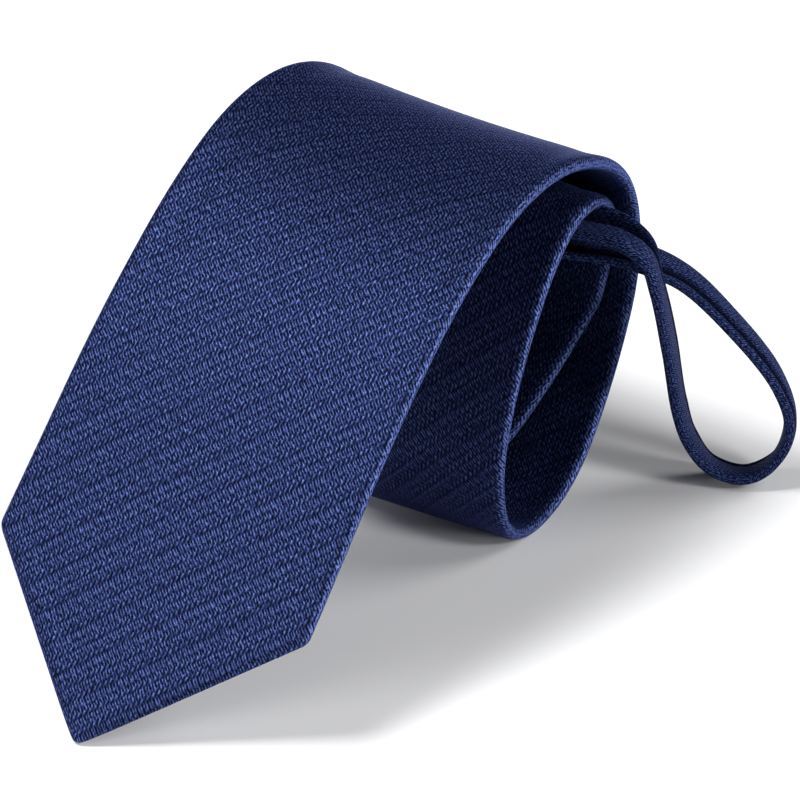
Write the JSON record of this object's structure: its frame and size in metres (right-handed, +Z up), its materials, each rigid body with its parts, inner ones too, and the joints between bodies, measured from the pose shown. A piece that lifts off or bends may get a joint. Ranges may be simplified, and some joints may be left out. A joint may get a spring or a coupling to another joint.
{
  "type": "skinny tie, ready-tied with a neck band, loosely rolled",
  "caption": "Ready-tied necktie of full width lying loosely rolled, its pointed end in front and its narrow neck band lying beside the roll as a loop.",
  "frame": {"origin": "middle of the bottom of the whole, on the surface it lies on", "axes": "+Z up, +Y from the pointed tip towards the roll, +X across the tie towards the side where the neck band comes out"},
  "size_m": [0.1082, 0.17, 0.0903],
  "materials": {
    "blade_cloth": "navy twill weave with a soft sheen",
    "band_cloth": "navy twill weave, finer and flatter"
  },
  "bodies": {
    "root": {"blade": "blade_cloth", "knot": "blade_cloth", "neck_loop": "band_cloth"}
  },
  "joints": []
}
